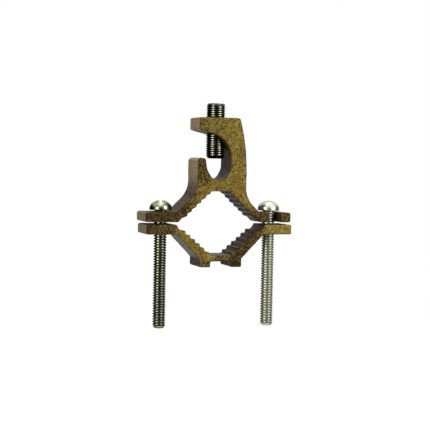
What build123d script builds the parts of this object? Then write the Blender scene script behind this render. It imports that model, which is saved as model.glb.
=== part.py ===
from build123d import *
import os

# Earth rod clamp: a cast upper body with a lay-in wire hook, a cast lower jaw drawn up
# against the rod by two slotted clamp screws, and a socket set screw that holds the wire.
# Origin: rod axis at mid-depth. X runs along the ears, Y along the rod, Z towards the hook.
# All sizes are in millimetres.

os.makedirs("parts", exist_ok=True)

# castings
depth = 16.6  # length of both castings along the rod
screw_x = 28.0  # clamp screw axes lie at plus and minus this distance
upper_left_end = -37.8  # ends of the four ears
upper_right_end = 36.8
lower_left_end = -37.3
lower_right_end = 37.4
ear_thickness = 4.8
jaw_gap = 0.6  # half of the gap between the two castings as drawn
ear_top = jaw_gap + ear_thickness
ear_round = 0.8  # rounding of the ear corners

# serrated faces of the upper jaw: the tips step down and outwards from a flat roof
roof_z = 15.6
roof_half = 5.0
upper_tip_x = 5.15
upper_tip_z = 14.55
upper_pitch_x = 2.34
upper_pitch_z = 2.2
upper_riser = 1.2
upper_lean = 0.15
upper_foot_x = 21.3  # where the jaw face meets the ear

# serrated faces of the lower jaw
floor_z = -15.6
floor_half = 5.7
lower_tip_x = 6.0
lower_tip_z = -13.85
lower_pitch_x = 2.4
lower_pitch_z = 2.07
lower_riser = 1.85
lower_lean = 0.2
lower_foot_x = 22.6
teeth = 6

# outside of the lower jaw
jaw_shift = 0.55  # trough, arms and feet sit this far right of the middle of the screws
shoulder_x = 22.25  # the sloping arms start here, under the ears
arm_foot_z = -17.3  # and meet the feet here
foot_outer = 10.8
foot_inner = 5.2
foot_top = -18.6
foot_bottom = -21.4

# hook on the upper casting
left_wall = -12.0
right_wall = 13.2
left_shoulder_x = -22.1
right_shoulder_x = 20.4
arm_top = 51.6
arm_end = -11.3
arm_end_bottom = 45.5
back_bend_z = 37.9  # the back of the hook starts to lean in here
back_top_x = 9.5
lip_top = 31.9
throat_x = 5.0  # inner side of the hook's back
throat_top = 41.3
groove_x = -1.0
groove_z = 26.3
groove_radius = 5.2  # seat of the wire
groove_left = -7.3

# clamp screws, 1/4-20 by about 2 1/4 in, slotted round head
shank_radius = 3.175
shank_length = 57.8
head_seat = 6.2  # underside of the head
head_radius = 5.55
head_height = 4.9
head_rim = 0.65  # straight part of the head's side
driver_slot = 1.5
driver_slot_depth = 2.6
left_slot_angle = 72.0  # direction of each head's slot, from X
right_slot_angle = -14.0

# holes for the clamp screws
thread_clearance = 0.05  # radial, between a thread's crest and its tapped hole
ear_hole_radius = 3.6
slot_mouth_left = 3.95  # the open slot flares towards its mouth, past the swing of the screw
slot_mouth_right = 3.6

# set screw, 3/8-24 by 27 mm, hexagon socket
set_screw_x = -0.6
set_radius = 4.65
set_tip = 31.6
set_length = 27.0
set_chamfer = 1.0
set_top_chamfer = 0.5
socket_flats = 4.76
socket_depth = 5.5
set_hole_bottom = 34.0


def serration(tip_x, tip_z, pitch_x, pitch_z, lean, riser, start, end):
    """Right-hand profile of a stepped jaw face, from the flat at its middle to its ear."""
    points = [start]
    for i in range(teeth):
        x = tip_x + i * pitch_x
        z = tip_z + i * pitch_z
        if i:
            points.append((x - lean, z + riser))
        points.append((x, z))
    return points + end


def both_sides(right, middle):
    """The profile and its mirror image about X = middle, from the left ear to the right ear."""
    return [(middle - x, z) for x, z in reversed(right)] + [(middle + x, z) for x, z in right]


def tapped_radius(crest):
    return crest + thread_clearance


upper_face = serration(
    upper_tip_x,
    upper_tip_z,
    upper_pitch_x,
    -upper_pitch_z,
    upper_lean,
    upper_riser,
    (roof_half, roof_z),
    [(upper_foot_x - 2.0, jaw_gap + 2.0), (upper_foot_x, jaw_gap)],
)
lower_face = serration(
    lower_tip_x,
    lower_tip_z,
    lower_pitch_x,
    lower_pitch_z,
    lower_lean,
    -lower_riser,
    (floor_half, floor_z),
    [(lower_foot_x - 1.8, -jaw_gap - 2.8), (lower_foot_x, -jaw_gap)],
)

# Upper casting: ears, serrated roof and hook in one profile
flank = 2 * groove_radius  # the groove's sides stand at 60 degrees and meet this far down
right_flank_z = groove_z - flank + (throat_x - groove_x) * 1.732
left_flank_z = groove_z - flank + (groove_x - groove_left) * 1.732
left_rise = left_wall - left_shoulder_x
right_rise = right_shoulder_x - right_wall
hook_outline = [
    (upper_foot_x, jaw_gap, 0),
    (upper_right_end, jaw_gap, ear_round),
    (upper_right_end, ear_top, ear_round),
    (right_shoulder_x, ear_top, 3.0),
    (right_wall, ear_top + right_rise, 12.0),
    (right_wall, back_bend_z, 95.0),
    (back_top_x, arm_top, 1.8),
    (arm_end, arm_top, 0.9),
    (arm_end, arm_end_bottom, 0.6),
    (throat_x, throat_top, 12.5),
    (throat_x, right_flank_z, 6.0),
    (groove_x, groove_z - flank, groove_radius),
    (groove_left, left_flank_z, 6.0),
    (groove_left - 0.4, lip_top, 1.6),
    (left_wall, lip_top, 2.0),
    (left_wall, ear_top + left_rise, 12.5),
    (left_shoulder_x, ear_top, 3.0),
    (upper_left_end, ear_top, ear_round),
    (upper_left_end, jaw_gap, ear_round),
    (-upper_foot_x, jaw_gap, 0),
]

with BuildPart() as hook_body:
    with BuildSketch(Plane.XZ):
        with BuildLine():
            FilletPolyline(*[p[:2] for p in hook_outline], radius=[p[2] for p in hook_outline[1:-1]])
            Polyline(*both_sides(upper_face, 0))
        make_face()
    extrude(amount=depth / 2, both=True)
    with Locations((set_screw_x, 0, arm_top)):
        Hole(tapped_radius(set_radius), depth=arm_top - set_hole_bottom)
    with Locations((-screw_x, 0, ear_top)):
        Hole(ear_hole_radius, depth=2 * ear_thickness)
    with BuildSketch(Plane.XY):
        with BuildLine():
            Polyline(
                (screw_x + ear_hole_radius, 0),
                (screw_x + slot_mouth_right, -depth),
                (screw_x - slot_mouth_left, -depth),
                (screw_x - slot_mouth_left, -depth / 2),
                (screw_x - ear_hole_radius, 0),
            )
            ThreePointArc(
                (screw_x - ear_hole_radius, 0),
                (screw_x, ear_hole_radius),
                (screw_x + ear_hole_radius, 0),
            )
        make_face()
    extrude(amount=2 * ear_thickness, mode=Mode.SUBTRACT)
hook_body.part.label = "hook_body"
export_step(hook_body.part, "parts/hook_body.step")

# Lower jaw: ears, serrated trough, sloping arms and two feet with a notch between them
jaw_outline = [
    (jaw_shift + lower_foot_x, -jaw_gap, 0),
    (lower_right_end, -jaw_gap, ear_round),
    (lower_right_end, -ear_top, ear_round),
    (jaw_shift + shoulder_x, -ear_top, 2.0),
    (jaw_shift + foot_outer, arm_foot_z, 1.0),
    (jaw_shift + foot_outer, foot_bottom, 0.6),
    (jaw_shift + foot_inner, foot_bottom, 0.6),
    (jaw_shift + foot_inner, foot_top, 0.8),
    (jaw_shift - foot_inner, foot_top, 0.8),
    (jaw_shift - foot_inner, foot_bottom, 0.6),
    (jaw_shift - foot_outer, foot_bottom, 0.6),
    (jaw_shift - foot_outer, arm_foot_z, 1.0),
    (jaw_shift - shoulder_x, -ear_top, 2.0),
    (lower_left_end, -ear_top, ear_round),
    (lower_left_end, -jaw_gap, ear_round),
    (jaw_shift - lower_foot_x, -jaw_gap, 0),
]

with BuildPart() as lower_jaw:
    with BuildSketch(Plane.XZ):
        with BuildLine():
            FilletPolyline(*[p[:2] for p in jaw_outline], radius=[p[2] for p in jaw_outline[1:-1]])
            Polyline(*both_sides(lower_face, jaw_shift))
        make_face()
    extrude(amount=depth / 2, both=True)
    with Locations((-screw_x, 0, -jaw_gap), (screw_x, 0, -jaw_gap)):
        Hole(tapped_radius(shank_radius), depth=2 * ear_thickness)
lower_jaw.part.label = "lower_jaw"
export_step(lower_jaw.part, "parts/lower_jaw.step")


def clamp_screw(x, slot_angle):
    """A slotted round head screw standing at x, its thread drawn as a plain shank."""
    top = head_seat + head_height
    tip = head_seat - shank_length
    with BuildPart() as screw:
        with BuildSketch(Plane(origin=(x, 0, 0), x_dir=(1, 0, 0), z_dir=(0, -1, 0))):
            with BuildLine():
                Polyline(
                    (0, top),
                    (0, tip),
                    (shank_radius - 0.6, tip),
                    (shank_radius, tip + 0.6),
                    (shank_radius, head_seat),
                    (head_radius, head_seat),
                    (head_radius, head_seat + head_rim),
                )
                EllipticalCenterArc(
                    (0, head_seat + head_rim),
                    head_radius,
                    head_height - head_rim,
                    start_angle=0,
                    arc_size=90,
                )
            make_face()
        revolve(axis=Axis((x, 0, 0), (0, 0, 1)))
        with BuildSketch(Plane.XY.offset(top)):
            with Locations((x, 0)):
                Rectangle(3 * head_radius, driver_slot, rotation=slot_angle)
        extrude(amount=-driver_slot_depth, mode=Mode.SUBTRACT)
    return screw


clamp_screw_left = clamp_screw(-screw_x, left_slot_angle)
clamp_screw_left.part.label = "clamp_screw_left"
export_step(clamp_screw_left.part, "parts/clamp_screw_left.step")

clamp_screw_right = clamp_screw(screw_x, right_slot_angle)
clamp_screw_right.part.label = "clamp_screw_right"
export_step(clamp_screw_right.part, "parts/clamp_screw_right.step")

# Set screw in the hook's arm, with its hexagon socket on top
with BuildPart() as wire_set_screw:
    with BuildSketch(Plane.XY.offset(set_tip)):
        with Locations((set_screw_x, 0)):
            Circle(set_radius)
    extrude(amount=set_length)
    chamfer(wire_set_screw.edges().sort_by(Axis.Z)[0], length=set_chamfer)
    chamfer(wire_set_screw.edges().sort_by(Axis.Z)[-1], length=set_top_chamfer)
    with BuildSketch(Plane.XY.offset(set_tip + set_length)):
        with Locations((set_screw_x, 0)):
            RegularPolygon(socket_flats / 2, 6, major_radius=False)
    extrude(amount=-socket_depth, mode=Mode.SUBTRACT)
wire_set_screw.part.label = "wire_set_screw"
export_step(wire_set_screw.part, "parts/wire_set_screw.step")
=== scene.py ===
# %% [markdown]
# # Dressing an earth rod clamp
#
# The clamp is two bronze castings, two slotted clamp screws and one socket set screw. Its CAD model
# is already packed, with every piece in its place. These cells load that model as a fixed frame and
# dress it: rounded, slightly rough castings, real screw threads, and finishes made of shader nodes.
# Nothing is moved or resized. All lengths are in metres.

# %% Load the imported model
import math
import bmesh
import bpy
import numpy as np
from mathutils import Matrix, Vector, noise


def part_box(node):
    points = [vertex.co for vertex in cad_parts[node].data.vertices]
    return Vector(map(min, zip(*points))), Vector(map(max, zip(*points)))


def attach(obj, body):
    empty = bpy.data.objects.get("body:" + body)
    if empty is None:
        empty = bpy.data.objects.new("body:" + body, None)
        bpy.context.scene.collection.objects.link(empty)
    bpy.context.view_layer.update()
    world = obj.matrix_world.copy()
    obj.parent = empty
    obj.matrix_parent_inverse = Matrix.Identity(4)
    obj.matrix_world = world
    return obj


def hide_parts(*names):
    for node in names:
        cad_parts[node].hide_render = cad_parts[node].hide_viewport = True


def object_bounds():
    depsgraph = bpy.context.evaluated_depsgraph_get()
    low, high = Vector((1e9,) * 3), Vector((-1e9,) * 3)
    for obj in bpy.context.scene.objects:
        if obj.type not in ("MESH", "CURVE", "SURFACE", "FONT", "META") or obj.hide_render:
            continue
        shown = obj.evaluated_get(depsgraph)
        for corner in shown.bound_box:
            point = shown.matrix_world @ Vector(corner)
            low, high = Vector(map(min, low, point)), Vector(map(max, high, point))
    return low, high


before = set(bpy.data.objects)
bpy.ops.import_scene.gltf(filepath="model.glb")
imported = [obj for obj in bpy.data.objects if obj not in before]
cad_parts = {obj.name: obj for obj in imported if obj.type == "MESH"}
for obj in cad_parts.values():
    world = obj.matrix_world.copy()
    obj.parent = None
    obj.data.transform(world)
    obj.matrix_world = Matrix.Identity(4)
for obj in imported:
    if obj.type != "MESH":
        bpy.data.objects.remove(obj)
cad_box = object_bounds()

MM = 0.001
print("nodes:", sorted(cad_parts))
print("box in mm:", [[round(v / MM, 1) for v in corner] for corner in cad_box])

# %% [markdown]
# ## Camera
#
# A clamp this small is best seen from far away with a long lens, so the ears stay nearly parallel.
# The camera stands a little to the left of the hook's open side, just above the level of the jaws.
# A camera looks along its own -Z, so its turn is worked out from the direction back to it, and a
# small roll about that direction comes last.

# %% Camera
AZIMUTH = math.radians(-18.0)
ELEVATION = math.radians(2.8)
ROLL = math.radians(1.1)
DISTANCE = 0.588
AIM = Vector((-0.0001, 0.0, 0.00375))

back = Vector((
    math.sin(AZIMUTH) * math.cos(ELEVATION),
    -math.cos(AZIMUTH) * math.cos(ELEVATION),
    math.sin(ELEVATION),
))
camera_data = bpy.data.cameras.new("camera")
camera_data.sensor_width = 36.0
camera_data.lens = 99.6
camera_data.clip_start = 0.01
camera_data.clip_end = 20.0
camera = bpy.data.objects.new("camera", camera_data)
bpy.context.scene.collection.objects.link(camera)
camera.rotation_mode = "QUATERNION"
camera.location = AIM + back * DISTANCE
level = (-back).to_track_quat("-Z", "Y")
camera.rotation_quaternion = Matrix.Rotation(ROLL, 4, back).to_quaternion() @ level
bpy.context.scene.camera = camera
print("camera at", [round(v, 3) for v in camera.location])

# %% [markdown]
# ## Shader sentences
#
# Node materials are easier to read when the maths looks like maths. `Signal` wraps a socket, and its
# operators add the Math nodes. `Finish` owns one material and adds every other node with one
# method, which sets the node's own settings first and then its sockets.


# %% Shader helpers
class Signal:
    """One output socket of a material, with arithmetic."""

    def __init__(self, finish, socket):
        self.finish = finish
        self.socket = socket

    def math(self, operation, other):
        return self.finish.node("ShaderNodeMath", {"operation": operation}, [self, other])

    def __add__(self, other):
        return self.math("ADD", other)

    def __mul__(self, other):
        return self.math("MULTIPLY", other)

    def __sub__(self, other):
        return self.math("SUBTRACT", other)

    def __rsub__(self, other):
        return self.finish.node("ShaderNodeMath", {"operation": "SUBTRACT"}, [other, self])

    __radd__ = __add__
    __rmul__ = __mul__


class Finish:
    """A material under construction."""

    def __init__(self, name):
        self.material = bpy.data.materials.new(name)
        self.material.use_nodes = True
        self.tree = self.material.node_tree
        self.shader = self.tree.nodes["Principled BSDF"]
        self.place = self.node("ShaderNodeTexCoord", output="Object")

    def node(self, kind, settings=None, values=(), output=0):
        node = self.tree.nodes.new(kind)
        for key, value in (settings or {}).items():
            setattr(node, key, value)
        pairs = values.items() if isinstance(values, dict) else enumerate(values)
        for key, value in pairs:
            self.feed(node.inputs[key], value)
        return Signal(self, node.outputs[output])

    def feed(self, socket, value):
        if isinstance(value, Signal):
            self.tree.links.new(value.socket, socket)
        else:
            socket.default_value = value

    def noise(self, scale, detail, roughness, place=None):
        """Values around 0.5; scale is in features for each millimetre."""
        return self.node("ShaderNodeTexNoise", {}, {
            "Vector": place or self.place, "Scale": scale / MM, "Detail": detail,
            "Roughness": roughness,
        })

    def between(self, signal, low, high):
        """0 below low, 1 above high, smooth between."""
        return self.node("ShaderNodeMapRange", {"interpolation_type": "SMOOTHSTEP"}, {
            "Value": signal, "From Min": low, "From Max": high,
        })

    def attribute(self, name):
        return self.node("ShaderNodeAttribute", {"attribute_name": name}, output="Fac")

    def mix(self, mask, first, second):
        """first where the mask is 0, second where it is 1."""
        node = self.tree.nodes.new("ShaderNodeMix")
        node.data_type = "RGBA"
        self.feed(node.inputs[0], mask)
        self.feed(node.inputs[6], first)
        self.feed(node.inputs[7], second)
        return Signal(self, node.outputs[2])

    def set(self, **sockets):
        for name, value in sockets.items():
            self.feed(self.shader.inputs[name.replace("_", " ")], value)

    def bump(self, height, depth_mm):
        return self.node("ShaderNodeBump", {}, {
            "Height": height, "Strength": 1.0, "Distance": depth_mm * MM,
        })


def rgb(red, green, blue):
    """A colour written as it looks, 0 to 255, turned into the linear values that shaders use."""
    def linear(value):
        value /= 255.0
        return value / 12.92 if value <= 0.04045 else ((value + 0.055) / 1.055) ** 2.4
    return (linear(red), linear(green), linear(blue), 1.0)


print("shader helpers ready")

# %% [markdown]
# ## Backdrop
#
# The clamp floats in a white sweep. The world is plain grey for lighting, and white where the camera
# or a mirror-like surface sees it, and the floor glows white to the same rays. The floor lies well
# below the clamp: a near one would fill the threads' undersides with white.

# %% Backdrop
WORLD_LIGHT = 0.20
FLOOR_DROP = 0.45
FLOOR_SIZE = 6.0
FLOOR_CLOTH = (0.4, 0.4, 0.4, 1.0)
WHITE = (1.0, 1.0, 1.0, 1.0)


def sees_white(tree):
    """1 for rays whose view of the surroundings should be white."""
    path = tree.nodes.new("ShaderNodeLightPath")
    signal = path.outputs["Is Camera Ray"]
    for ray in ("Is Glossy Ray", "Is Transmission Ray"):
        either = tree.nodes.new("ShaderNodeMath")
        either.operation = "MAXIMUM"
        tree.links.new(signal, either.inputs[0])
        tree.links.new(path.outputs[ray], either.inputs[1])
        signal = either.outputs[0]
    return signal


def make_world(light_strength):
    world = bpy.data.worlds.new("studio")
    world.use_nodes = True
    bpy.context.scene.world = world
    tree = world.node_tree
    tree.nodes.clear()
    lit = tree.nodes.new("ShaderNodeBackground")
    lit.inputs["Color"].default_value = WHITE
    lit.inputs["Strength"].default_value = light_strength
    seen = tree.nodes.new("ShaderNodeBackground")
    seen.inputs["Color"].default_value = WHITE
    seen.inputs["Strength"].default_value = 1.0
    mix = tree.nodes.new("ShaderNodeMixShader")
    out = tree.nodes.new("ShaderNodeOutputWorld")
    tree.links.new(sees_white(tree), mix.inputs[0])
    tree.links.new(lit.outputs[0], mix.inputs[1])
    tree.links.new(seen.outputs[0], mix.inputs[2])
    tree.links.new(mix.outputs[0], out.inputs["Surface"])


def flat_piece(name, width, height):
    """A staged rectangle in its own XY plane, centred on its origin."""
    shape = bmesh.new()
    bmesh.ops.create_grid(shape, x_segments=1, y_segments=1, size=0.5)
    bmesh.ops.scale(shape, vec=(width, height, 1), verts=shape.verts)
    mesh = bpy.data.meshes.new(name)
    shape.to_mesh(mesh)
    shape.free()
    piece = bpy.data.objects.new(name, mesh)
    bpy.context.scene.collection.objects.link(piece)
    return piece


def make_floor():
    floor = flat_piece("floor", FLOOR_SIZE, FLOOR_SIZE)
    floor.location.z = cad_box[0].z - FLOOR_DROP
    material = bpy.data.materials.new("floor_white")
    material.use_nodes = True
    tree = material.node_tree
    tree.nodes.clear()
    cloth = tree.nodes.new("ShaderNodeBsdfDiffuse")
    cloth.inputs["Color"].default_value = FLOOR_CLOTH
    glow = tree.nodes.new("ShaderNodeEmission")
    glow.inputs["Color"].default_value = WHITE
    tree.links.new(sees_white(tree), glow.inputs["Strength"])
    both = tree.nodes.new("ShaderNodeAddShader")
    out = tree.nodes.new("ShaderNodeOutputMaterial")
    tree.links.new(cloth.outputs[0], both.inputs[0])
    tree.links.new(glow.outputs[0], both.inputs[1])
    tree.links.new(both.outputs[0], out.inputs["Surface"])
    floor.data.materials.append(material)


make_world(WORLD_LIGHT)
make_floor()
bpy.context.scene.view_settings.view_transform = "Standard"
print("white sweep, floor", FLOOR_DROP, "m under the clamp")

# %% [markdown]
# ## Lamps and cards
#
# Bare metal shows what stands round it, so a few soft panels give it light, and black cards between
# them give the screws their dark stripes. Only mirror-like rays meet the cards: they throw no
# shadow and take no light away. Each table row below is one panel or one card, and its bearing is
# in degrees round the clamp, 0 at the front and 90 on the right.

# %% Lamps and cards
CARD_DISTANCE = 0.75
LIT_POINT = Vector((0, 0, 0.005))
PANELS = (
    # name, bearing, distance, height, (width, height) of the panel, watts
    ("top_panel", 30, 0.05, 0.80, (0.7, 0.5), 2.4),
    ("right_panel", 36, 0.80, 0.30, (0.30, 0.60), 3.4),
    ("left_panel", -54, 0.80, 0.15, (0.20, 0.50), 1.9),
)
CARDS = (
    # name, bearing, width, height
    ("camera_card", -10, 0.62, 0.9),
    ("left_card", -118, 1.50, 1.0),
    ("right_card", 82, 0.75, 1.0),
)


def stand_round(piece, bearing, distance, height):
    """Puts a lamp or a card round the clamp, facing it."""
    angle = math.radians(bearing)
    place = Vector((math.sin(angle) * distance, -math.cos(angle) * distance, height))
    piece.location = place
    piece.rotation_mode = "QUATERNION"
    piece.rotation_quaternion = (LIT_POINT - place).to_track_quat("-Z", "Y")


def make_panel(name, bearing, distance, height, size, watts):
    """A soft rectangular lamp."""
    lamp = bpy.data.lights.new(name, "AREA")
    lamp.shape = "RECTANGLE"
    lamp.size, lamp.size_y = size
    lamp.energy = watts
    panel = bpy.data.objects.new(name, lamp)
    bpy.context.scene.collection.objects.link(panel)
    stand_round(panel, bearing, distance, height)


def make_card(name, bearing, width, height, black):
    """A dark card that only mirror-like rays meet."""
    card = flat_piece(name, width, height)
    stand_round(card, bearing, CARD_DISTANCE, 0.0)
    card.visible_camera = False
    card.visible_diffuse = False
    card.visible_shadow = False
    card.data.materials.append(black)


card_black = bpy.data.materials.new("card_black")
card_black.use_nodes = True
card_shader = card_black.node_tree.nodes["Principled BSDF"]
card_shader.inputs["Base Color"].default_value = (0.01, 0.01, 0.01, 1.0)
card_shader.inputs["Specular IOR Level"].default_value = 0.0
for name, bearing, distance, height, size, watts in PANELS:
    make_panel(name, bearing, distance, height, size, watts)
for name, bearing, width, height in CARDS:
    make_card(name, bearing, width, height, card_black)
print(len(PANELS), "panels and", len(CARDS), "cards")

# %% [markdown]
# ## Castings
#
# Sand-cast bronze has no sharp edges: every corner is rounded by the mould and by tumbling. A CAD
# solid comes in as loose triangles, so a copy is merged, remeshed into small even squares, and then
# smoothed once, which rounds the edges by about the size of a square. Last, each point is pushed in
# or out by up to about a tenth of a millimetre, which is the grain of the sand.

# %% Castings
VOXEL = 0.30 * MM
SOFTENING = 0.5
FINE_GRAIN = (1.1, 0.045)     # features for each mm, height in mm
BROAD_GRAIN = (0.28, 0.10)
GRAIN_SET_BACK = 0.03         # in mm, which keeps the skin near the CAD size


def merged_copy(node):
    """A bmesh of a CAD node with its loose triangles joined."""
    shape = bmesh.new()
    shape.from_mesh(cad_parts[node].data)
    bmesh.ops.remove_doubles(shape, verts=shape.verts, dist=1e-6)
    return shape


def new_piece(name, shape):
    """A Blender object from a bmesh, which it frees."""
    mesh = bpy.data.meshes.new(name)
    shape.to_mesh(mesh)
    shape.free()
    piece = bpy.data.objects.new(name, mesh)
    bpy.context.scene.collection.objects.link(piece)
    return piece


def settle(piece):
    """Applies the piece's modifiers to its mesh."""
    graph = bpy.context.evaluated_depsgraph_get()
    done = bpy.data.meshes.new_from_object(piece.evaluated_get(graph))
    piece.modifiers.clear()
    piece.data = done


def cast_piece(name, node, seed):
    piece = new_piece(name, merged_copy(node))
    remesh = piece.modifiers.new("remesh", "REMESH")
    remesh.mode = "VOXEL"
    remesh.voxel_size = VOXEL
    soften = piece.modifiers.new("soften", "SMOOTH")
    soften.factor = SOFTENING
    soften.iterations = 1
    settle(piece)
    shape = bmesh.new()
    shape.from_mesh(piece.data)
    shape.normal_update()
    for vert in shape.verts:
        spot = vert.co / MM + Vector((seed, 0, 0))
        grain = sum(noise.noise(spot * scale) * height for scale, height in (FINE_GRAIN, BROAD_GRAIN))
        vert.co += vert.normal * (grain - GRAIN_SET_BACK) * MM
    shape.to_mesh(piece.data)
    shape.free()
    piece.data.shade_smooth()
    print(name, "points:", len(piece.data.vertices))
    return piece


upper_casting = cast_piece("upper_casting_skin", "hook_body", 0.0)
lower_casting = cast_piece("lower_casting_skin", "lower_jaw", 40.0)

# %% [markdown]
# ## Threads
#
# A thread is one V-shaped ridge wound round a core. The profile of one pitch is a short zigzag, and
# a spin with a lift winds it up: each turn starts where the last one ended, so merging doubles
# makes one skin. The strip is wound too long, cut to length with two flat cuts, and closed there.

# %% Thread
STEPS = 40
RISE = (0.08, 0.34, 0.74)     # shares of a pitch where a flank starts, the crest starts and it ends
MERGE = 1e-6


def wound_thread(x, bottom, top, crest, root, pitch):
    """A closed threaded rod standing at x, right-handed, between two heights."""
    turns = math.ceil((top - bottom) / pitch) + 3
    low = bottom - 1.5 * pitch
    heights = (0, *(pitch * share for share in RISE), pitch)
    radii = (root, root, crest, crest, root)
    shape = bmesh.new()
    row = [shape.verts.new((x + r, 0, low + h)) for r, h in zip(radii, heights)]
    edges = [shape.edges.new(pair) for pair in zip(row, row[1:])]
    bmesh.ops.spin(
        shape, geom=row + edges, cent=(x, 0, 0), axis=(0, 0, 1), dvec=(0, 0, pitch / STEPS),
        angle=2 * math.pi * turns, steps=STEPS * turns, use_merge=False, use_duplicate=False,
    )
    bmesh.ops.remove_doubles(shape, verts=shape.verts, dist=MERGE)
    for height, side in ((bottom, -1), (top, 1)):
        everything = shape.verts[:] + shape.edges[:] + shape.faces[:]
        bmesh.ops.bisect_plane(
            shape, geom=everything, plane_co=(0, 0, height), plane_no=(0, 0, side), clear_outer=True,
        )
        open_edges = [edge for edge in shape.edges if edge.is_boundary]
        rim = [edge for edge in open_edges if all(abs(v.co.z - height) < MERGE for v in edge.verts)]
        bmesh.ops.edgeloop_fill(shape, edges=rim)
    bmesh.ops.recalc_face_normals(shape, faces=shape.faces)
    return shape


def taper(shape, x, end, direction, small, length):
    """Turns the last stretch of a rod down to a cone, as a thread's lead is."""
    for vert in shape.verts:
        inward = (vert.co.z - end) * direction
        if inward < length:
            limit = small[0] + (small[1] - small[0]) * inward / length
            reach = math.hypot(vert.co.x - x, vert.co.y)
            if reach > limit:
                vert.co.x = x + (vert.co.x - x) * limit / reach
                vert.co.y *= limit / reach


def crisp(piece, degrees=30):
    """Smooth faces, with every bend sharper than this kept as an edge."""
    shape = bmesh.new()
    shape.from_mesh(piece.data)
    for face in shape.faces:
        face.smooth = True
    for edge in shape.edges:
        edge.smooth = len(edge.link_faces) == 2 and edge.calc_face_angle(0) < math.radians(degrees)
    shape.to_mesh(piece.data)
    shape.free()


print("thread helpers ready")

# %% [markdown]
# ## Clamp screws
#
# Each screw is a wound shank and a slotted dome. The dome of the CAD node already has its slot cut
# where the screw happened to stop turning, so a merged copy of the node gives the dome, with the
# plain shank cut away just under it, and the threaded shank is joined on.

# %% Clamp screws
CLAMP_PITCH = 1.27 * MM
CLAMP_CREST = 3.175 * MM
CLAMP_ROOT = 2.40 * MM
CLAMP_LENGTH = 57.8 * MM      # under the head
CLAMP_TIP = 2.3 * MM          # radius of the tip
CLAMP_LEAD = 0.9 * MM         # length of the cone at the tip
INTO_HEAD = 0.3 * MM          # how far the shank runs up inside the dome
SKIRT = 0.01 * MM             # the sliver of plain shank left under the dome
DOME_EDGE = 0.12 * MM


def clamp_screw(name, node):
    low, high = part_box(node)
    x = (low.x + high.x) / 2
    seat = low.z + CLAMP_LENGTH
    shank = wound_thread(x, low.z, seat + INTO_HEAD, CLAMP_CREST, CLAMP_ROOT, CLAMP_PITCH)
    taper(shank, x, low.z, 1, (CLAMP_TIP, CLAMP_CREST), CLAMP_LEAD)
    head = merged_copy(node)
    everything = head.verts[:] + head.edges[:] + head.faces[:]
    bmesh.ops.bisect_plane(
        head, geom=everything, plane_co=(0, 0, seat - SKIRT), plane_no=(0, 0, -1), clear_outer=True,
    )
    rim = [e for e in head.edges if e.is_boundary]
    bmesh.ops.edgeloop_fill(head, edges=rim)
    bmesh.ops.dissolve_limit(head, angle_limit=math.radians(1.0), verts=head.verts, edges=head.edges)
    sharp = [e for e in head.edges if len(e.link_faces) == 2 and e.calc_face_angle(0) > math.radians(35)]
    bmesh.ops.bevel(
        head, geom=sharp, offset=DOME_EDGE, segments=2, profile=0.5, affect="EDGES", material=-1,
    )
    dome = new_piece(name + "_dome", head)
    piece = new_piece(name, shank)
    joined = bmesh.new()
    joined.from_mesh(piece.data)
    joined.from_mesh(dome.data)
    joined.to_mesh(piece.data)
    joined.free()
    bpy.data.objects.remove(dome)
    crisp(piece)
    print(name, "faces:", len(piece.data.polygons))
    return piece


screw_left = clamp_screw("left_screw_threaded", "clamp_screw_left")
screw_right = clamp_screw("right_screw_threaded", "clamp_screw_right")

# %% [markdown]
# ## Set screw
#
# The set screw is one wound rod with a short cone at each end and a hexagon socket in its top. The
# socket is cut with a Boolean modifier, whose cutter is a six-sided prism made by the cone operator.

# %% Set screw
SET_PITCH = 25.4 / 24 * MM
SET_DEPTH = 0.62 * MM         # of the thread
SET_TIP = 1.1 * MM            # how far the lower cone comes in and up
SET_TOP = 0.7 * MM            # the same at the top
SOCKET_FLATS = 4.76 * MM
SOCKET_DEPTH = 5.5 * MM


def set_screw(name, node):
    low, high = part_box(node)
    x = (low.x + high.x) / 2
    crest = (high.x - low.x) / 2
    rod = wound_thread(x, low.z, high.z, crest, crest - SET_DEPTH, SET_PITCH)
    taper(rod, x, low.z, 1, (crest - SET_TIP, crest), SET_TIP)
    taper(rod, x, high.z, -1, (crest - SET_TOP, crest), SET_TOP)
    piece = new_piece(name, rod)
    cut = bmesh.new()
    corner = SOCKET_FLATS / math.sqrt(3)
    bmesh.ops.create_cone(
        cut, cap_ends=True, segments=6, radius1=corner, radius2=corner, depth=2 * SOCKET_DEPTH,
        matrix=Matrix.Translation((x, 0, high.z)),
    )
    cutter = new_piece("cutter", cut)
    hollow = piece.modifiers.new("socket", "BOOLEAN")
    hollow.object = cutter
    hollow.operation = "DIFFERENCE"
    settle(piece)
    bpy.data.objects.remove(cutter)
    crisp(piece)
    print(name, "faces:", len(piece.data.polygons))
    return piece


wire_screw = set_screw("wire_screw_threaded", "wire_set_screw")

# %% [markdown]
# ## Bronze
#
# The flat front and back of a casting are rubbed: olive gold, with brown freckles that close up to a
# brown skin near the ears. The mould's skin round the edge is beige where it has been ground and
# grey-brown elsewhere. Inside the jaws it is dark brown with painted shade, and inside the hook it is
# painted in deep shadow. Each point gets a colour by its place and the way it faces, and a number,
# `rust`, that says how much of it the freckles cover.

# %% Bronze colours
GOLD = rgb(124, 104, 37)
PALE_GOLD = rgb(138, 117, 52)
OLIVE_BROWN = rgb(92, 77, 40)
BROWN = rgb(78, 57, 36)
BEIGE = rgb(206, 178, 134)
EAR_BEIGE = rgb(184, 166, 132)
BLUE_GREY = rgb(72, 76, 76)
FOOT_GREY = rgb(46, 47, 44)
# dark brown with painted shade, for the inside of the jaws
SHADED_JAW_BROWN = rgb(62, 47, 42)
FLOOR_GREY = rgb(48, 53, 46)
# painted shadow for the inside of the hook
HOOK_SHADOW = rgb(38, 25, 15)
UNDER_HEAD = rgb(56, 40, 28)


print("twelve bronze colours, from gold to the dark of the hook")

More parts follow.
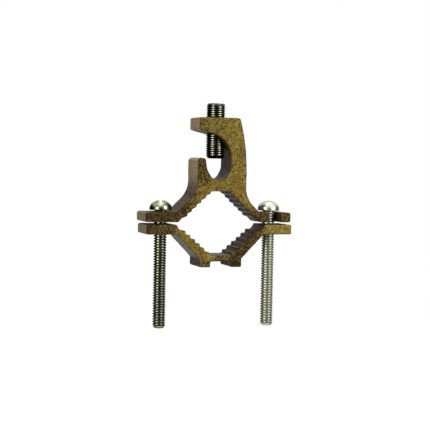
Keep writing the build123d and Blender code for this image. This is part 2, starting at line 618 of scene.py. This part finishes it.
# %% [markdown]
# ### Where each colour lies
#
# The two functions below are the map of the casting. Each takes a place in millimetres and the way
# the skin faces there, and a `ramp` along x or z lets one colour run into the next.

# %% Where each colour lies
FRONT_OR_BACK = 0.6           # a skin whose normal is this much along y is a flat face


def ramp(value, low, high):
    """0 at low, 1 at high, smooth between; low may be the larger."""
    share = min(1.0, max(0.0, (value - low) / (high - low)))
    return share * share * (3 - 2 * share)


def blend(first, second, share):
    return [a + (b - a) * share for a, b in zip(first, second)]


def upper_skin(p, n):
    """Colour and rust of the upper casting at p, in mm, where it faces n."""
    if abs(n.y) > FRONT_OR_BACK:
        left = ramp(p.x, -9, -19) * ramp(p.z, 27, 18)
        right = ramp(p.x, 13, 20) * ramp(p.z, 14, 8)
        arm = ramp(p.x, 4, -4) * ramp(p.z, 40, 44)
        lip = ramp(p.x, -2, -8) * ramp(p.z, 16, 22) * ramp(p.z, 36, 32)
        colour = blend(blend(GOLD, BROWN, 0.50 * left), BROWN, 0.35 * right + 0.28 * lip)
        colour = blend(colour, OLIVE_BROWN, 0.4 * arm)
        return colour, 0.22 + 0.42 * left + 0.34 * right + 0.34 * lip
    in_jaw = p.z < 16.3 and abs(p.x) < 21.4 and n.z < 0.3
    in_hook = -7.6 < p.x < 5.8 and 20.5 < p.z < 45.0 and (n.x < 0.3 or p.z < 30)
    # the jaws' inner faces are dark brown with painted shade
    if in_jaw:
        return SHADED_JAW_BROWN, 0.5
    # the hook's inside is painted in shadow
    if in_hook:
        return HOOK_SHADOW, 0.3
    if n.x < -0.35:
        shaded = ramp(p.z, 25, 13) * ramp(p.x, -34, -26)
        ground = blend(BEIGE, EAR_BEIGE, ramp(p.x, -26, -34))
        return blend(ground, UNDER_HEAD, shaded), 0.15 + 0.3 * shaded
    return BROWN, 0.5


def lower_skin(p, n):
    """Colour and rust of the lower jaw."""
    if abs(n.y) > FRONT_OR_BACK:
        left_ear = ramp(p.x, -20, -26)
        right_arm = ramp(p.x, 4, 9) * ramp(p.x, 26, 20)
        feet = ramp(p.z, -17, -19.5)
        middle = ramp(p.x, -4, 0) * ramp(p.x, 10, 6)
        colour = blend(GOLD, PALE_GOLD, ramp(p.x, 20, 26))
        colour = blend(colour, OLIVE_BROWN, 0.80 * left_ear + 0.75 * middle * (1 - right_arm))
        colour = blend(colour, BROWN, 0.30 * right_arm + 0.5 * feet * (1 - right_arm))
        return colour, 0.12 + 0.40 * left_ear + 0.5 * right_arm + 0.3 * feet + 0.2 * middle
    # the jaw's trough is dark brown with painted shade, and grey on its floor
    if p.z > -15.9 and abs(p.x) < 23.5 and n.z > -0.2:
        floor = ramp(abs(p.x - 0.55), 6.4, 5.6)
        return blend(SHADED_JAW_BROWN, FLOOR_GREY, floor), 0.4 - 0.3 * floor
    if n.x < -0.35:
        grey = blend(BLUE_GREY, FOOT_GREY, ramp(p.z, -14, -18))
        return blend(EAR_BEIGE, grey, ramp(p.x, -34, -28)), 0.25
    return blend(BROWN, OLIVE_BROWN, 0.5), 0.5


print("colour in the hook:", [round(v, 3) for v in upper_skin(Vector((0, 0, 25)), Vector((0, 0, 1)))[0]])

# %% [markdown]
# ### Painted numbers
#
# Hollows are darkened with painted shade, and edges are turned browner. To tell the two apart, each
# point's place is averaged with its neighbours' a few times over: a point that stands out of that
# average is an edge, and one that lies under it is a hollow. The results are stored on the mesh as
# attributes, which shaders can read.

# %% Painted numbers
AVERAGINGS = 6


def relief(piece):
    """How far each point stands out of its wider surroundings, in mm: edges above 0, hollows below."""
    mesh = piece.data
    start = np.empty(len(mesh.vertices) * 3)
    mesh.vertices.foreach_get("co", start)
    start = start.reshape(-1, 3) / MM
    facing = np.empty(len(mesh.vertices) * 3)
    mesh.vertices.foreach_get("normal", facing)
    pairs = np.empty(len(mesh.edges) * 2, dtype=int)
    mesh.edges.foreach_get("vertices", pairs)
    ends = np.concatenate((pairs[0::2], pairs[1::2]))
    others = np.concatenate((pairs[1::2], pairs[0::2]))
    count = np.bincount(ends, minlength=len(start))[:, None]
    spread = start
    for _ in range(AVERAGINGS):
        sums = [np.bincount(ends, weights=spread[others, i], minlength=len(start)) for i in range(3)]
        spread = np.stack(sums, 1) / count
    return ((start - spread) * facing.reshape(-1, 3)).sum(axis=1)


def paint(piece, skin):
    stands_out = piece.data.attributes.new("relief", "FLOAT", "POINT")
    stands_out.data.foreach_set("value", relief(piece))
    looks = [skin(vert.co / MM, vert.normal) for vert in piece.data.vertices]
    tint = piece.data.attributes.new("tint", "FLOAT_COLOR", "POINT")
    tint.data.foreach_set("color", [part for colour, _ in looks for part in colour])
    rust = piece.data.attributes.new("rust", "FLOAT", "POINT")
    rust.data.foreach_set("value", [share for _, share in looks])
    rubbed = piece.data.attributes.new("rubbed", "FLOAT", "POINT")
    rubbed.data.foreach_set("value", [ramp(abs(v.normal.y), 0.4, 0.8) for v in piece.data.vertices])


paint(upper_casting, upper_skin)
paint(lower_casting, lower_skin)
print("painted:", [layer.name for layer in upper_casting.data.attributes if layer.domain == "POINT"])

# %% [markdown]
# ### Bronze finish
#
# The painted colour is lightened and darkened by a mottle, then covered with freckles, with deeper
# pits inside them; the edges are turned browner, and the hollows are darkened with painted shade.
# The shift moves the pattern on the second casting, so that the two don't carry the same freckles.

# %% Bronze finish
DARK_MOTTLE = rgb(44, 31, 14)
PALE_MOTTLE = rgb(226, 206, 130)
RIDGE_BROWN = rgb(74, 56, 32)
FRECKLE = rgb(58, 40, 27)
PIT = rgb(34, 24, 16)
HOLLOW_SHADE = rgb(30, 22, 20)


def bronze(name, shift):
    finish = Finish(name)
    place = finish.node("ShaderNodeMapping", {}, {"Vector": finish.place, "Location": (shift, 0, 0)})
    tint = finish.node("ShaderNodeAttribute", {"attribute_name": "tint"}, output="Color")
    rust = finish.attribute("rust")
    clouds = finish.noise(0.14, 3.0, 0.6, place)
    spots = finish.noise(1.25, 3.0, 0.66, place) + 0.34 * rust + 0.20 * clouds
    freckle = finish.between(spots, 0.72, 0.79)
    pit = finish.between(spots, 0.84, 0.90)
    grain = finish.noise(3.4, 3.0, 0.6, place)
    mottle = finish.noise(1.05, 4.0, 0.75, place)
    shade = finish.between(mottle * 0.75 + clouds * 0.25, 0.38, 0.62)
    out = finish.attribute("relief")
    # hollow marks where painted shade darkens the casting
    hollow = finish.between(out, -0.02, -0.14)
    ridge = finish.between(out, 0.03, 0.16)
    darker = finish.mix(0.48, tint, DARK_MOTTLE)
    paler = finish.mix(0.12, tint, PALE_MOTTLE)
    lit = finish.mix(shade, darker, paler)
    lit = finish.mix(ridge * 0.45, lit, RIDGE_BROWN)
    colour = finish.mix(freckle * 0.78, lit, FRECKLE)
    colour = finish.mix(pit * 0.6, colour, PIT)
    # painted shade in the hollows
    colour = finish.mix(hollow * 0.8, colour, HOLLOW_SHADE)
    finish.set(
        Base_Color=colour,
        Metallic=0.25 + 0.60 * finish.attribute("rubbed"),
        Specular_IOR_Level=0.2,
        Roughness=0.50 + 0.16 * freckle,
        Normal=finish.bump(grain - 0.7 * freckle, 0.07),
    )
    return finish.material


upper_casting.data.materials.append(bronze("bronze_upper", 0.0))
lower_casting.data.materials.append(bronze("bronze_lower", 0.05))
print("bronze on both castings")

# %% [markdown]
# ## Steel
#
# The clamp screws are plated: grey with a green cast, bright and dull in patches on the crests and the
# dome, and the right one is painted paler than the left, as painted light. The thread's roots are
# darkened with painted shade, by a number painted by how far a point is from the screw's axis,
# `crest`. The set screw is darker, as oiled steel is, and its roots are painted near black.

# %% Steel
CLAMP_SEAT = 6.0 * MM         # height above which a clamp screw is all head
SET_RIM = 58.4 * MM
SET_ROOT = 4.03 * MM
SET_CREST = 4.65 * MM
STEELS = (
    # name, bright, dull, root (painted shade in the thread's roots), roughness
    ("plated_steel", rgb(168, 168, 138), rgb(128, 128, 106), rgb(100, 100, 80), 0.16),
    # the right screw: the same plating painted paler, as painted light
    ("painted_lit_plated_steel", rgb(208, 210, 188), rgb(182, 184, 164), rgb(184, 186, 168), 0.26),
    ("oiled_steel", rgb(142, 144, 122), rgb(98, 100, 84), rgb(28, 28, 24), 0.16),
)


def paint_crest(piece, node, root, crest, seat):
    """Stores crest: 0 in the thread's roots, 1 on its crests and on all that is above the seat."""
    low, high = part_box(node)
    x = (low.x + high.x) / 2
    share = piece.data.attributes.new("crest", "FLOAT", "POINT")
    for vert in piece.data.vertices:
        reach = math.hypot(vert.co.x - x, vert.co.y)
        share.data[vert.index].value = 1.0 if vert.co.z > seat else ramp(reach, root, crest)


def steel(name, bright, dull, root, roughness):
    finish = Finish(name)
    tarnish = finish.between(finish.noise(0.5, 4.0, 0.6), 0.35, 0.7)
    streak = finish.noise(2.2, 3.0, 0.5)
    crest = finish.between(finish.attribute("crest"), 0.70, 0.98)
    # painted shade: the thread's roots take the root colour
    colour = finish.mix(crest, root, finish.mix(tarnish, bright, dull))
    finish.set(
        Base_Color=colour,
        Metallic=1.0,
        Roughness=streak * 0.15 + roughness + 0.2 * (1 - crest),
        Normal=finish.bump(finish.noise(4.0, 3.0, 0.6), 0.01),
    )
    return finish.material


paint_crest(screw_left, "clamp_screw_left", CLAMP_ROOT, CLAMP_CREST, CLAMP_SEAT)
paint_crest(screw_right, "clamp_screw_right", CLAMP_ROOT, CLAMP_CREST, CLAMP_SEAT)
paint_crest(wire_screw, "wire_set_screw", SET_ROOT, SET_CREST, SET_RIM)
for piece, recipe in zip((screw_left, screw_right, wire_screw), STEELS):
    piece.data.materials.clear()
    piece.data.materials.append(steel(*recipe))
print("steel on the three screws")

# %% [markdown]
# ## Ride and replace
#
# Every new piece stands for one CAD node and rides on that node's body, so it moves when the clamp
# is opened.

# %% Ride and replace
for piece, body, node, slot in (
    (upper_casting, "upper_casting", "hook_body", "cast_bronze_upper"),
    (lower_casting, "jaw", "lower_jaw", "cast_bronze_lower"),
    (screw_left, "left_screw", "clamp_screw_left", "plated_screw"),
    (screw_right, "right_screw", "clamp_screw_right", "plated_screw"),
    (wire_screw, "set_screw", "wire_set_screw", "dark_set_screw"),
):
    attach(piece, body)
    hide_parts(node)
    print(piece.name, "rides on", body)
